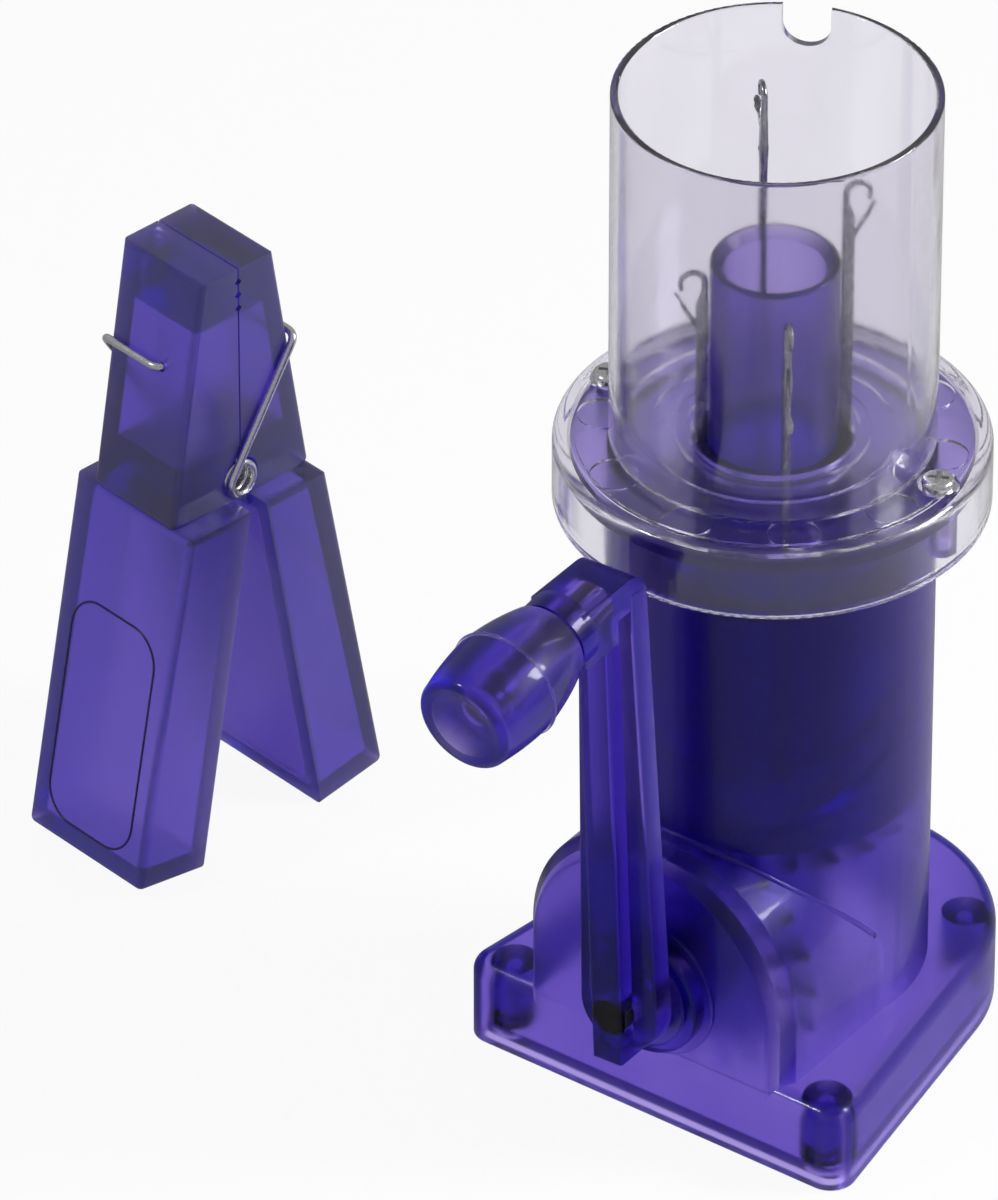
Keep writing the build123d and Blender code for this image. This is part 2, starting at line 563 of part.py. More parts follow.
def crank_arm():
    """T-section arm with a round foot, and the block that carries the knob."""
    top = CRANK_R + BLOCK_HEIGHT / 2 - BLOCK_DROP
    low = CRANK_R - BLOCK_HEIGHT / 2 - BLOCK_DROP
    sides = Polyline((-ARM_HALF_TOP, top), (-ARM_HALF_END, 0), (ARM_HALF_END, 0), (ARM_HALF_TOP, top),
                     close=True)
    face = make_face(sides) + Circle(ARM_HALF_END)
    plate = Pos(0, -ARM_BACK, 0) * extrude(Plane.XZ * face, ARM_PLATE)
    plate = fillet(plate.faces().sort_by(Axis.Y)[0].edges(), ARM_EDGE_R)
    rib_face = Pos(0, (low - ARM_HALF_END) / 2) * Rectangle(2 * RIB_HALF, low + ARM_HALF_END + 1)
    rib = Pos(0, -ARM_BACK, 0) * extrude(Plane.XZ * rib_face, ARM_PLATE + ARM_RIB)
    rib = fillet(rib.edges().filter_by(Axis.X).sort_by(Axis.Z)[0], RIB_END_R)
    rib = fillet(rib.faces().sort_by(Axis.Y)[0].edges().filter_by(Axis.Z), ARM_EDGE_R)
    side = Polyline((-ARM_BACK, low), (-ARM_BACK, top), (-BLOCK_FRONT, top), (-BLOCK_FRONT, low), close=True)
    block = extrude(Plane.YZ * make_face(side), ARM_HALF_TOP, both=True)
    rear_top = block.edges().filter_by(Axis.X).sort_by(lambda e: e.center().Y + e.center().Z)[-1]
    block = fillet(rear_top, BLOCK_BACK_R)
    block = fillet(block.faces().sort_by(Axis.Y)[0].edges(), ARM_EDGE_R)
    plate &= Box(40, 120, 2 * top - 6) + Pos(0, 0, low) * Box(40, 200, 8)
    pocket = Box(6, ARM_RIB, 4, align=(Align.MIN, Align.MAX, Align.MIN))
    for side_x in (RIB_HALF, -RIB_HALF - 6):
        block -= Pos(side_x, -ARM_BACK - ARM_PLATE, low - 0.01) * pocket
    arm = plate + rib + block
    arm += knob_place(rod(COLLAR_R, -2.0, COLLAR))
    arm -= Rot(90, 0, 0) * rod(SHAFT_R + SLIP, ARM_BACK - 1, SHAFT_FRONT)
    return on_crank(arm - knob_place(rod(SPINDLE_R + SLIP, -SPINDLE_ROOT, COLLAR + 1)))


def knob_spindle():
    """Pin that the knob turns on, with a raised ring near its end that the knob snaps over."""
    snap = rod(SPINDLE_R + SNAP_RING, COLLAR + SNAP_AT, COLLAR + SNAP_AT + SNAP_WIDTH)
    pin = rod(SPINDLE_R, -SPINDLE_ROOT, COLLAR + SPINDLE_REACH) + snap
    return on_crank(knob_place(fillet(pin.edges().group_by(Axis.Z)[-1], 0.5)))


def knob():
    """Barrel-shaped knob with a dished end, free to spin on its spindle."""
    bore_r = SPINDLE_R + RUN
    snap_r = bore_r + SNAP_RING
    snap_end = SNAP_AT + SNAP_WIDTH + AIR
    bore = Polyline((0, SPINDLE_REACH + AIR), (bore_r, SPINDLE_REACH + AIR), (bore_r, snap_end),
                    (snap_r, snap_end), (snap_r, SNAP_AT - AIR), (bore_r, SNAP_AT - AIR),
                    (bore_r, AIR), (KNOB_REAR_R - 0.6, AIR), (KNOB_REAR_R, AIR + 0.6))
    belly = ThreePointArc(bore @ 1, KNOB_BELLY, (KNOB_RIDGE_R, KNOB_RIDGE_AT))
    taper = ThreePointArc(belly @ 1, KNOB_TAPER, (KNOB_END_R, KNOB_LENGTH - 1.2))
    rim = ThreePointArc(taper @ 1, (KNOB_END_R - 0.4, KNOB_LENGTH - 0.3), (KNOB_END_R - 1.4, KNOB_LENGTH))
    lip = Line(rim @ 1, (KNOB_END_R - 2.3, KNOB_LENGTH - 0.3))
    dish = TangentArc((KNOB_GATE_R, KNOB_LENGTH - KNOB_DISH), lip @ 1, tangent=(1, 0))
    core = Polyline(dish @ 0, (0, KNOB_LENGTH - KNOB_DISH), bore @ 0)
    shape = bore + belly + taper + rim + lip + dish + core
    body = revolve(Plane.XZ * make_face(shape), Axis.Z)
    return on_crank(knob_place(Pos(0, 0, COLLAR) * body))


# ---------------------------------------------------------------- weight clip
def at_clip(shape):
    """Place a piece drawn in the clip's own frame: x across its width, y from arm to arm."""
    return Pos(CLIP_AT[0], CLIP_AT[1], 0) * Rot(0, 0, CLIP_YAW) * shape


def jaw_out(z):
    """How far the jaw's outer face stands from the parting plane at a height."""
    rise = (CLIP_HEIGHT - z) / (CLIP_HEIGHT - CLIP_SHOULDER_Z)
    return JAW_HALF + (SHOULDER_OUT - JAW_HALF) * rise


def heel_height():
    """Height of the outer edge of the sloping foot of a clip arm."""
    tilt = atan(0.5 * (FOOT_IN + FOOT_OUT) / CLIP_PIVOT_Z) * 0.55
    return (FOOT_OUT - FOOT_IN) * tan(tilt)


def handle_pocket(inset):
    """The handle's hollow, open towards the other arm, drawn smaller all round by an inset."""
    top = CLIP_SHOULDER_Z - CLIP_WALL
    corners = Polyline((CLIP_INNER, top), (-SHOULDER_OUT + CLIP_WALL, top),
                       (-FOOT_OUT + CLIP_WALL, heel_height() + CLIP_WALL),
                       (-FOOT_IN + CLIP_INNER, CLIP_WALL), close=True)
    outline = offset(make_face(corners), -inset)
    return extrude(Plane.YZ * outline, HANDLE_WIDTH / 2 - CLIP_WALL - inset, both=True)


def clip_arm():
    """One arm of the clip, drawn on the -y side: hollow jaw above the pivot, hollow handle below."""
    gap = AIR / 2
    jaw = Polyline((-gap, CLIP_HEIGHT), (-JAW_HALF, CLIP_HEIGHT), (-SHOULDER_OUT, CLIP_SHOULDER_Z),
                   (-CLIP_INNER, CLIP_SHOULDER_Z - 3), (-gap, CLIP_PIVOT_Z), close=True)
    handle = Polyline((-CLIP_INNER, CLIP_SHOULDER_Z), (-SHOULDER_OUT, CLIP_SHOULDER_Z),
                      (-FOOT_OUT, heel_height()), (-FOOT_IN, 0), close=True)
    arm = extrude(Plane.YZ * make_face(jaw), JAW_WIDTH / 2, both=True)
    arm = fillet(arm.edges().filter_by(lambda e: e.center().Y < -JAW_HALF + 0.1), JAW_EDGE_R)
    grip = extrude(Plane.YZ * make_face(handle), HANDLE_WIDTH / 2, both=True)
    below_shoulder = grip.edges().filter_by(lambda e: e.center().Z < CLIP_SHOULDER_Z + 1)
    grip = fillet(below_shoulder.filter_by(lambda e: e.center().Y < -FOOT_IN - 0.3), HANDLE_EDGE_R)
    arm = arm + grip - handle_pocket(0)
    seat_r = SPRING_COIL_R + SPRING_WIRE_R + AIR
    low = CLIP_PIVOT_Z + seat_r + 2
    high = CLIP_HEIGHT - JAW_TOOTH_PITCH * (JAW_TEETH + 1)
    hollow = Polyline((1, low), (-jaw_out(low) + CLIP_WALL, low), (-jaw_out(high) + CLIP_WALL, high),
                      (1, high), close=True)
    arm -= extrude(Plane.YZ * make_face(hollow), JAW_WIDTH / 2 - CLIP_WALL, both=True)
    arm -= Pos(0, 0, CLIP_PIVOT_Z) * Rot(0, 90, 0) * Cylinder(seat_r, 2 * HANDLE_WIDTH)
    tooth = Rot(45, 0, 0) * Box(JAW_WIDTH + 2, 1.0, 1.0)
    for k in range(JAW_TEETH):
        arm -= Pos(0, 0, CLIP_HEIGHT - JAW_TOOTH_PITCH * (k + 1)) * tooth
    tip_hole = Rot(90, 0, 0) * Cylinder(SPRING_WIRE_R + 0.15, 8)
    return arm - Pos(SPRING_TIP_X, -jaw_out(SPRING_LEG_Z), SPRING_LEG_Z) * tip_hole


def clip_plate():
    """Plate that closes the hollow handle of the arm on the -y side, flush with its inner face."""
    run = hypot(FOOT_IN - CLIP_INNER, CLIP_SHOULDER_Z)
    across = -CLIP_PLATE * CLIP_SHOULDER_Z / run
    along = CLIP_PLATE * (FOOT_IN - CLIP_INNER) / run
    band = Polyline((-CLIP_INNER, CLIP_SHOULDER_Z), (-FOOT_IN, 0), (-FOOT_IN + across, along),
                    (-CLIP_INNER + across, CLIP_SHOULDER_Z + along), close=True)
    return extrude(Plane.YZ * make_face(band), HANDLE_WIDTH / 2, both=True) & handle_pocket(SLIP)


def spring_leg():
    """Leg of the clip's spring on the -y side: up the flank, across the jaw, tip in its hole."""
    flank = -JAW_WIDTH / 2 - SPRING_WIRE_R - AIR / 2
    out = jaw_out(SPRING_LEG_Z) + SPRING_WIRE_R + AIR / 2
    tip = SPRING_TIP_X
    path = FilletPolyline((flank, -AIR, CLIP_PIVOT_Z + SPRING_COIL_R), (flank, -out, SPRING_LEG_Z),
                          (tip, -out, SPRING_LEG_Z), (tip, SPRING_TIP - out, SPRING_LEG_Z),
                          radius=SPRING_BEND_R)
    return sweep(Plane(origin=path @ 0, z_dir=path % 0) * Circle(SPRING_WIRE_R), path)


def spring_coil():
    """Close-wound coil of the clip's spring between the arms."""
    pitch = 1.9 * SPRING_WIRE_R
    last = JAW_WIDTH / 2 + SPRING_WIRE_R + AIR / 2
    turns = int((last + JAW_WIDTH / 2) / pitch)
    loop = Rot(0, 90, 0) * Torus(SPRING_COIL_R, SPRING_WIRE_R)
    loops = [Pos(last - pitch * k, 0, 0) * loop for k in range(turns)]
    return Pos(0, 0, CLIP_PIVOT_Z) * (loops[0] + loops[1:])


def clip_pieces():
    """Both arms, their plates, and the spring, split where one leg moves with the front arm."""
    front = clip_arm()
    plate = clip_plate()
    leg = spring_leg()
    half_turn = Rot(0, 0, 180)
    back_leg = half_turn * leg
    return {
        "clip_arm_front": at_clip(front),
        "clip_arm_back": at_clip(half_turn * front),
        "clip_plate_front": at_clip(plate),
        "clip_plate_back": at_clip(half_turn * plate),
        "clip_spring": at_clip(spring_coil() + back_leg),
        "clip_spring_leg": at_clip(leg),
    }


# ---------------------------------------------------------------- all pieces
def pieces():
    """Every node and its solid or solids."""
    nodes = {
        "housing": housing(),
        "bottom_cover": bottom_cover(),
        "bottom_screws": bottom_screws(),
        "clear_cover": clear_cover(),
        "cover_screws": cover_screws(),
        "cover_washers": cover_washers(),
        "needle_cylinder": needle_cylinder(),
        "cylinder_gear": cylinder_gear(),
        "cam_lower": cam_lower(),
        "cam_upper": cam_upper(),
        "drive_gear": drive_gear(),
        "gear_screw": gear_screw(),
        "crank_shaft": crank_shaft(),
        "shaft_bush": shaft_bush(),
        "crank_washer": crank_washer(),
        "crank_arm": crank_arm(),
        "knob_spindle": knob_spindle(),
        "knob": knob(),
    }
    for k in range(NEEDLES):
        nodes[f"needle_{k + 1}"] = needle(k)
        nodes[f"latch_{k + 1}"] = latch(k)
        nodes[f"rivet_{k + 1}"] = rivet(k)
    nodes.update(clip_pieces())
    return nodes


os.makedirs("parts", exist_ok=True)
for name, shape in pieces().items():
    solids = shape if isinstance(shape, list) else shape.solids()
    export_step(Compound(children=list(solids)), f"parts/{name}.step")
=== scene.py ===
# %% [markdown]
# # A hand-cranked cord knitting machine
# The machine knits a round cord: turning the crank turns a grooved cylinder, and two
# sloped rings inside the column lift and lower four latch needles as they go round.
# The construction is already made and packed, so it is loaded first and never moved.
# What is made here is how it looks: tinted plastic, clear plastic, wire and screws.

# %% Load the construction
import math

import bpy
import numpy as np
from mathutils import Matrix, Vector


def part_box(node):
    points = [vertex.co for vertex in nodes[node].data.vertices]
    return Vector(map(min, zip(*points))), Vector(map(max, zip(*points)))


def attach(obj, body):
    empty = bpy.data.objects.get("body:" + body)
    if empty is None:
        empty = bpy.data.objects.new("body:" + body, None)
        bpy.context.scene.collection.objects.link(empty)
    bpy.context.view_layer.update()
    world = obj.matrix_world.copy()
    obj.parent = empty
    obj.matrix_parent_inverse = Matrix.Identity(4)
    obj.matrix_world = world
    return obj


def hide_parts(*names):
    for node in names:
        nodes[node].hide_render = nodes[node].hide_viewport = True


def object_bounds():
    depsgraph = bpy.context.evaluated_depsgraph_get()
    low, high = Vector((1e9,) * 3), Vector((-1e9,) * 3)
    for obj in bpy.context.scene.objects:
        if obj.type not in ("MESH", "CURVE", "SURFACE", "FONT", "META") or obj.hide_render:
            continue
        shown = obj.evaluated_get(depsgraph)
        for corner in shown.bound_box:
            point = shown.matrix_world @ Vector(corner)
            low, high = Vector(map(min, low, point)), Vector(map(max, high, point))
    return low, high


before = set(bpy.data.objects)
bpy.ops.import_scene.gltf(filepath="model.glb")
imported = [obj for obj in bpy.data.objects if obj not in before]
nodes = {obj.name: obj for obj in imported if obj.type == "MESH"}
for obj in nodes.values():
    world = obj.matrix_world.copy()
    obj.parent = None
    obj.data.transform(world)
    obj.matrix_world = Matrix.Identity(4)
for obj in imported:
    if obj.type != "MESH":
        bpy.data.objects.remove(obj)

CAD_BOX = [list(corner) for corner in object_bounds()]

# %% [markdown]
# ## Camera
# A long lens far away keeps the column's sides almost parallel, as in a catalogue view.
# The camera is placed by two angles and a distance about a point inside the machine, so
# each of the three can be changed by itself.

# %% Camera
VIEW_AZIMUTH = math.radians(36.02)
VIEW_ELEVATION = math.radians(35.56)
VIEW_DISTANCE = 2.0795
VIEW_SHIFT_LEFT = 0.0405
VIEW_HEIGHT = 0.0778
LENS_MM = 418.2
FAR_LIMIT = 20.0

right = np.array([math.cos(VIEW_AZIMUTH), math.sin(VIEW_AZIMUTH), 0.0])
away = np.array([math.sin(VIEW_AZIMUTH) * math.cos(VIEW_ELEVATION),
                 -math.cos(VIEW_AZIMUTH) * math.cos(VIEW_ELEVATION),
                 math.sin(VIEW_ELEVATION)])
target = -VIEW_SHIFT_LEFT * right + np.array([0.0, 0.0, VIEW_HEIGHT])
camera = bpy.data.objects.new("camera", bpy.data.cameras.new("camera"))
camera.data.lens = LENS_MM
camera.data.clip_end = FAR_LIMIT
camera.location = target + VIEW_DISTANCE * away
camera.rotation_euler = (math.pi / 2 - VIEW_ELEVATION, 0.0, VIEW_AZIMUTH)
bpy.context.scene.collection.objects.link(camera)
bpy.context.scene.camera = camera
print("camera at", [round(x, 3) for x in camera.location])

# %% [markdown]
# ## Node trees in words
# Every finish below is a small graph of nodes.  Two helpers keep the graphs short: one
# adds a node and fills its sockets, the other starts a material with its main shader.
# A value that is the same all over is always set on the shader itself.


# %% Helpers for node trees
def add(tree, kind, settings=None, **sockets):
    """A new node of a kind: settings are its properties, sockets its inputs by name.

    A socket's value is either a plain value, or another node's output, which is linked.
    Underscores in a socket's name stand for spaces.
    """
    node = tree.nodes.new(kind)
    for name, value in (settings or {}).items():
        setattr(node, name, value)
    for name, value in sockets.items():
        socket = node.inputs[name.replace("_", " ")]
        if isinstance(value, bpy.types.NodeSocket):
            tree.links.new(value, socket)
        else:
            socket.default_value = value
    return node


def start_material(name):
    """A material with an empty tree but for its output and one Principled shader."""
    material = bpy.data.materials.new(name)
    material.use_nodes = True
    tree = material.node_tree
    tree.nodes.clear()
    output = tree.nodes.new("ShaderNodeOutputMaterial")
    shader = tree.nodes.new("ShaderNodeBsdfPrincipled")
    tree.links.new(shader.outputs["BSDF"], output.inputs["Surface"])
    return material, tree, shader, output


def noise(tree, scale, detail=2.0, stretch=(1, 1, 1)):
    """Noise on the piece's own coordinates, scale in waves per metre, as a 0 to 1 value."""
    where = add(tree, "ShaderNodeTexCoord").outputs["Object"]
    if stretch != (1, 1, 1):
        where = add(tree, "ShaderNodeMapping", Vector=where, Scale=stretch).outputs[0]
    return add(tree, "ShaderNodeTexNoise", Vector=where, Scale=scale, Detail=detail).outputs[0]


NOISE_LOW, NOISE_HIGH = 0.3, 0.7


def between(tree, value, low, high):
    """Stretch a noise value, which mostly lies from 0.3 to 0.7, over a range."""
    names = {"From Min": NOISE_LOW, "From Max": NOISE_HIGH, "To Min": low, "To Max": high}
    node = add(tree, "ShaderNodeMapRange", {"clamp": True}, Value=value)
    for name, number in names.items():
        node.inputs[name].default_value = number
    return node.outputs[0]


def blend_colours(tree, value, dark, light):
    """A colour that goes from one to the other with a 0 to 1 value."""
    ramp = add(tree, "ShaderNodeValToRGB", Fac=value)
    low, high = ramp.color_ramp.elements
    low.position, high.position = NOISE_LOW, NOISE_HIGH
    low.color, high.color = (*dark, 1), (*light, 1)
    return ramp.outputs["Color"]


def roughen(tree, shader, heights):
    """Bump from several layers, given as (0 to 1 value, height in metres)."""
    normal = None
    for value, height in heights:
        bump = add(tree, "ShaderNodeBump", Height=value, Distance=height, Strength=1.0)
        if normal is not None:
            tree.links.new(normal, bump.inputs["Normal"])
        normal = bump.outputs["Normal"]
    tree.links.new(normal, shader.inputs["Normal"])


def finish_nodes(names, material):
    """Give the construction's own nodes a finish."""
    for name in names:
        data = nodes[name].data
        data.materials.clear()
        data.materials.append(material)
    print(material.name, "on", ", ".join(names))


# %% [markdown]
# ## Tinted plastic
# The coloured mouldings are see-through: one wall over a white table glows violet, and
# several walls behind each other go almost black.  Painting that on would break as soon
# as the machine turned, so the tint is put inside the plastic: the surface is clear, and
# the volume takes away red and green faster than blue for every millimetre that light
# passes.  Faint flow waves stay on the surface, and its gloss is a little uneven.
#
# Most mouldings share one strength.  The knob is thick and would go black with it, and the
# hollow clip would be too pale, so those two have a strength of their own.

# %% Tinted plastic
TINT = (0.26, 0.05, 0.80)
TINT_PER_METRE = 335.0
KNOB_TINT_PER_METRE = 215.0
CLIP_TINT_PER_METRE = 430.0
TINTED_IOR = 1.3


def tinted_plastic(name, wave=60.0, flow_height=0.00012, tint_per_metre=TINT_PER_METRE, gloss=0.25,
                   clearness=1.0):
    """Satin surface over an absorbing volume, under a thin gloss, with flow waves.

    What clearness leaves out of one scatters light at the surface, as scuffed plastic does.
    """
    material, tree, shader, output = start_material(name)
    flow = noise(tree, wave, 3.0, (1, 1, 0.35))
    fine = noise(tree, 500.0, 2.0)
    colour = blend_colours(tree, flow, (0.76, 0.70, 0.94), (0.86, 0.82, 0.98))
    tree.links.new(colour, shader.inputs["Base Color"])
    tree.links.new(between(tree, fine, 0.30, 0.37), shader.inputs["Roughness"])
    shader.inputs["Transmission Weight"].default_value = clearness
    shader.inputs["IOR"].default_value = TINTED_IOR
    shader.inputs["Specular Tint"].default_value = (0.5, 0.45, 0.8, 1)
    shader.inputs["Coat Weight"].default_value = gloss
    shader.inputs["Coat Roughness"].default_value = 0.05
    roughen(tree, shader, [(flow, flow_height)])
    volume = add(tree, "ShaderNodeVolumeAbsorption", Color=(*TINT, 1), Density=tint_per_metre)
    tree.links.new(volume.outputs[0], output.inputs["Volume"])
    return material


body_plastic = tinted_plastic("tinted_plastic_body")
finish_nodes(["housing", "bottom_cover"], body_plastic)
inner_plastic = tinted_plastic("tinted_plastic_inner", wave=90.0)
inner_names = ["needle_cylinder", "cylinder_gear", "drive_gear", "cam_lower", "cam_upper"]
finish_nodes(inner_names + ["shaft_bush", "crank_washer"], inner_plastic)
handle_plastic = tinted_plastic("tinted_plastic_handle", wave=80.0)
finish_nodes(["crank_arm"], handle_plastic)
knob_plastic = tinted_plastic("tinted_plastic_knob", wave=80.0, tint_per_metre=KNOB_TINT_PER_METRE,
                              gloss=0.35, clearness=0.985)
finish_nodes(["knob"], knob_plastic)
clip_plastic = tinted_plastic("tinted_plastic_clip", wave=45.0, tint_per_metre=CLIP_TINT_PER_METRE,
                              gloss=0.6, clearness=0.93)
clip_names = [f"clip_{part}_{side}" for part in ("arm", "plate") for side in ("front", "back")]
finish_nodes(clip_names, clip_plastic)

# %% [markdown]
# ## Clear plastic
# The guard tube and its flange are one clear moulding with a breath of grey violet.  A
# weak absorbing volume makes its edges, where light runs along the wall, darker than its
# faces, which is what makes a clear tube readable against white.

# %% Clear plastic
def clear_plastic():
    """Clear surface with long soft waves from moulding, over a weak grey violet volume."""
    material, tree, shader, output = start_material("clear_guard_plastic")
    flow = noise(tree, 70.0, 2.0, (1, 1, 0.3))
    fine = noise(tree, 700.0, 2.0)
    colour = blend_colours(tree, flow, (0.80, 0.78, 0.85), (0.85, 0.83, 0.89))
    tree.links.new(colour, shader.inputs["Base Color"])
    tree.links.new(between(tree, fine, 0.06, 0.12), shader.inputs["Roughness"])
    shader.inputs["Transmission Weight"].default_value = 1.0
    shader.inputs["IOR"].default_value = 1.33
    shader.inputs["Coat Weight"].default_value = 0.5
    shader.inputs["Coat Roughness"].default_value = 0.03
    roughen(tree, shader, [(flow, 0.0003)])
    volume = add(tree, "ShaderNodeVolumeAbsorption", Color=(0.09, 0.055, 0.26, 1), Density=12.0)
    tree.links.new(volume.outputs[0], output.inputs["Volume"])
    return material


finish_nodes(["clear_cover"], clear_plastic())

# %% [markdown]
# ## Metals
# The needles are drawn steel, darker and smoother than the zinc on the screws and the
# spring.  The steel gets a fine upright streak, which runs along the needles, and the zinc
# an even grain, because a perfectly even metal looks like plastic.

# %% Metals
METAL_GRAIN = 2500.0


def metal(name, dark, light, low, high, streak=(1, 1, 0.15), height=0.000004):
    """Bare or plated metal: colour, roughness and relief follow one streaked noise."""
    material, tree, shader, _ = start_material(name)
    grain = noise(tree, METAL_GRAIN, 3.0, streak)
    tree.links.new(blend_colours(tree, grain, dark, light), shader.inputs["Base Color"])
    tree.links.new(between(tree, grain, low, high), shader.inputs["Roughness"])
    shader.inputs["Metallic"].default_value = 1.0
    roughen(tree, shader, [(grain, height)])
    return material


needle_steel = metal("drawn_steel", (0.17, 0.17, 0.19), (0.36, 0.36, 0.39), 0.16, 0.32)
finish_nodes([f"{part}_{k}" for part in ("needle", "latch", "rivet") for k in (1, 2, 3, 4)],
             needle_steel)
oiled_steel = metal("oiled_steel", (0.04, 0.04, 0.06), (0.10, 0.10, 0.13), 0.35, 0.55)
finish_nodes(["crank_shaft", "knob_spindle"], oiled_steel)
finish_nodes(["gear_screw"], oiled_steel)
zinc = metal("zinc_plate", (0.62, 0.62, 0.63), (0.80, 0.80, 0.80), 0.14, 0.30, (1, 1, 1))
zinc_names = ["bottom_screws", "cover_screws", "cover_washers"]
finish_nodes(zinc_names + ["clip_spring", "clip_spring_leg"], zinc)

# %% [markdown]
# ## Surfaces from arrays
# The small parts below are all one kind of thing: a closed outline carried along a line.
# A needle's outline changes from a flat bar to a round wire on the way, a spring's stays
# round.  So one helper turns a grid of points, outlines by rows, into a closed mesh, and
# another carries an outline along a path.  Both work on whole arrays at once.

# %% Helpers for carried outlines
MM = 0.001


def unit(vectors):
    """Each vector divided by its own length."""
    return vectors / np.linalg.norm(vectors, axis=-1, keepdims=True)


def closed_mesh(name, grid, loop=False):
    """A mesh from a grid of points, one closed outline per row.

    Neighbouring rows are joined by quads.  The two end rows are closed by a fan to
    their middle point, or, for a loop, the last row is joined to the first.
    """
    rows, count = grid.shape[:2]
    index = np.arange(rows * count).reshape(rows, count)
    if loop:
        index = np.vstack([index, index[:1]])
    here, there = index[:-1], index[1:]
    quads = np.stack([here, np.roll(here, -1, 1), np.roll(there, -1, 1), there], axis=-1)
    points = grid.reshape(-1, 3)
    faces = quads.reshape(-1, 4).tolist()
    if not loop:
        points = np.vstack([points, grid[0].mean(0), grid[-1].mean(0)])
        first = np.stack([np.full(count, rows * count), np.roll(index[0], -1), index[0]], axis=-1)
        last = np.stack([np.full(count, rows * count + 1), index[-1], np.roll(index[-1], -1)], axis=-1)
        faces += first.tolist() + last.tolist()
    mesh = bpy.data.meshes.new(name)
    mesh.from_pydata(points * MM, [], faces)
    mesh.shade_smooth()
    piece = bpy.data.objects.new(name, mesh)
    bpy.context.scene.collection.objects.link(piece)
    return piece


def carry(outline, path, side, loop=False):
    """Carry an outline along a path: the path's tangent is the outline's normal.

    Its first coordinate lies along side x tangent, its second along the part of side
    that is square to the tangent.  The outline may be one for all or one per point.
    """
    if loop:
        tangent = unit(np.roll(path, -1, axis=0) - np.roll(path, 1, axis=0))
    else:
        tangent = unit(np.gradient(path, axis=0))
    across = unit(np.cross(np.broadcast_to(side, path.shape), tangent))
    up = np.cross(tangent, across)
    return path[:, None] + outline[..., :1] * across[:, None] + outline[..., 1:] * up[:, None]


def circle(radius, count=16):
    """Points round a circle, counter-clockwise."""
    angle = np.arange(count) * 2 * math.pi / count
    return np.stack([radius * np.cos(angle), radius * np.sin(angle)], axis=-1)


def rounded(points, radius, steps=8):
    """A path of straight runs whose corners are replaced by short curves of a given reach."""
    points = np.asarray(points, float)
    path = [points[:1]]
    share = np.linspace(0, 1, steps)[:, None]
    for before, corner, after in zip(points, points[1:], points[2:]):
        enter = corner + radius * unit(before - corner)
        leave = corner + radius * unit(after - corner)
        path.append((1 - share) ** 2 * enter + 2 * share * (1 - share) * corner + share ** 2 * leave)
    return np.vstack(path + [points[-1:]])


def place(piece, material, body, slot_name, *replaced):
    """Give a new piece its finish and its body, and hide the nodes it stands for. The slot name is not
    used.
    """
    piece.data.materials.append(material)
    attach(piece, body)
    if replaced:
        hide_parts(*replaced)
    print(piece.name, "on", body, len(piece.data.polygons), "faces")
    return piece


# %% [markdown]
# ## Latch needles
# A latch needle is a flat steel bar ground to a round wire and bent over into a hook.
# Below the hook a blade swings on a rivet in a slot and closes the hook with its spoon.
# A box for the bar and a torus for the hook would meet in a hard step, so the whole
# needle is one outline that changes with height: how wide, how thick, how square, how
# deep the slot.

# %% Needle sizes
NEEDLE_ANGLES = (-45.0, 45.0, 135.0, 225.0)
LATCH_ANGLES = (160.0, 29.0, 50.0, 29.0)
NEEDLE_LENGTH = 80.0
STEM_IN_R, STEM_WIDTH, STEM_THICK = 9.95, 1.8, 1.1
WIRE_R, HOOK_R, TIP_R = 0.5, 1.8, 0.34
SLOT_WIDTH, SLOT_DEPTH, SLOT_LOW, SLOT_HIGH = 0.5, 1.5, -14.8, -8.4
SLOT_RAMP, SLOT_LEAST = 0.8, 0.02
LATCH_DROP, LATCH_LENGTH = 11.0, 8.1
LATCH_PIVOT = STEM_IN_R + 0.58 * STEM_WIDTH
needle_tops = [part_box(f"needle_{k}")[1][2] / MM for k in (1, 2, 3, 4)]
print("needle tops, mm:", [round(top, 1) for top in needle_tops])


def smooth_step(x, low, high):
    """0 below low, 1 above high and a smooth rise between, for whole arrays."""
    t = np.clip((x - low) / (high - low), 0, 1)
    return t * t * (3 - 2 * t)


def stand(points, angle, top):
    """Turn points drawn with x outwards, y round and z up about the cylinder's axis, and lift them."""
    turn = math.radians(angle)
    x, y, z = points[..., 0], points[..., 1], points[..., 2]
    return np.stack([x * math.cos(turn) - y * math.sin(turn),
                     x * math.sin(turn) + y * math.cos(turn), z + top], axis=-1)


def slotted_outline(wide, thick, square, slot):
    """Outlines of a bar with a slot in its outer side, one row for each size.

    A superellipse, whose power goes from nearly square to round, is cut at the slot's
    two lips, and two more points stand at the slot's floor.  Where there is no slot they
    still lie a hair under the outer side: points in one place would leave faces with no
    area, and a mesh that is no longer closed.
    """
    lip = np.minimum(SLOT_WIDTH / 2, 0.4 * thick)
    start = np.arcsin(np.clip(lip / thick, 0, 1) ** (1 / square))
    turn = start[:, None] + np.linspace(0, 1, 22) * (2 * math.pi - 2 * start[:, None])
    cos, sin = np.cos(turn), np.sin(turn)
    power = square[:, None]
    x = wide[:, None] * np.sign(cos) * np.abs(cos) ** power
    y = thick[:, None] * np.sign(sin) * np.abs(sin) ** power
    floor_x = x[:, :1] - np.maximum(slot, SLOT_LEAST)[:, None]
    x = np.hstack([x, floor_x, floor_x])
    y = np.hstack([y, y[:, -1:], y[:, :1]])
    return np.stack([x, y], axis=-1)


# %% [markdown]
# ## The needle's outline along its length
# A needle could be boxes and a torus joined with booleans, but each join would be a hard
# step and would cost many small faces.  Here two rows of numbers along one line, the half
# width and the half thickness, say the whole shape.

